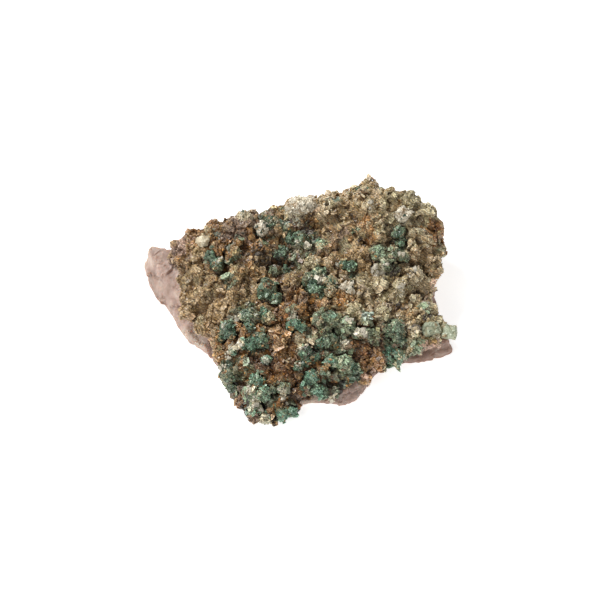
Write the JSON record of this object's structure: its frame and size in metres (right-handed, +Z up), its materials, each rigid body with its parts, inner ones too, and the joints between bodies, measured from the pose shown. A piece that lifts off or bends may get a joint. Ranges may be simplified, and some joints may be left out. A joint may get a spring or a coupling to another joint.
{
  "type": "rosasite mineral specimen",
  "caption": "Loose hand-size plate of pink carbonate rock with a brown drusy crust, clusters of green rosasite balls and small pale calcite crystals, lying on its flat foot.",
  "frame": {"origin": "centre of the bounding box in plan, on the plane of the flat foot", "axes": "+X along the plate's length, towards its right end as seen from the front; +Y towards the high back edge; +Z up, out of the crusted face"},
  "size_m": [0.084, 0.068, 0.0262],
  "materials": {
    "matrix": "matte",
    "crust": "satin",
    "rosasite": "satin",
    "calcite": "gloss"
  },
  "bodies": {
    "root": {"matrix": "matrix", "crust": "crust", "rosasite_cluster_01": "rosasite", "rosasite_cluster_02": "rosasite", "rosasite_cluster_03": "rosasite", "rosasite_cluster_04": "rosasite", "rosasite_cluster_05": "rosasite", "rosasite_cluster_06": "rosasite", "rosasite_cluster_07": "rosasite", "rosasite_cluster_08": "rosasite", "rosasite_cluster_09": "rosasite", "rosasite_cluster_10": "rosasite", "rosasite_cluster_11": "rosasite", "rosasite_cluster_12": "rosasite", "rosasite_cluster_13": "rosasite", "rosasite_cluster_14": "rosasite", "rosasite_cluster_15": "rosasite", "rosasite_cluster_16": "rosasite", "rosasite_cluster_17": "rosasite", "rosasite_cluster_18": "rosasite", "rosasite_cluster_19": "rosasite", "rosasite_cluster_20": "rosasite", "rosasite_cluster_21": "rosasite", "rosasite_cluster_22": "rosasite", "rosasite_cluster_23": "rosasite", "rosasite_cluster_24": "rosasite", "rosasite_cluster_25": "rosasite", "rosasite_cluster_26": "rosasite", "calcite_crystal_left": "calcite", "calcite_crystal_back_right": "calcite", "calcite_slab_back": "calcite", "calcite_wedge_middle": "calcite", "calcite_block_right": "calcite", "calcite_block_end": "calcite", "calcite_lump_hollow": "calcite", "calcite_lump_speckled": "calcite"}
  },
  "joints": []
}
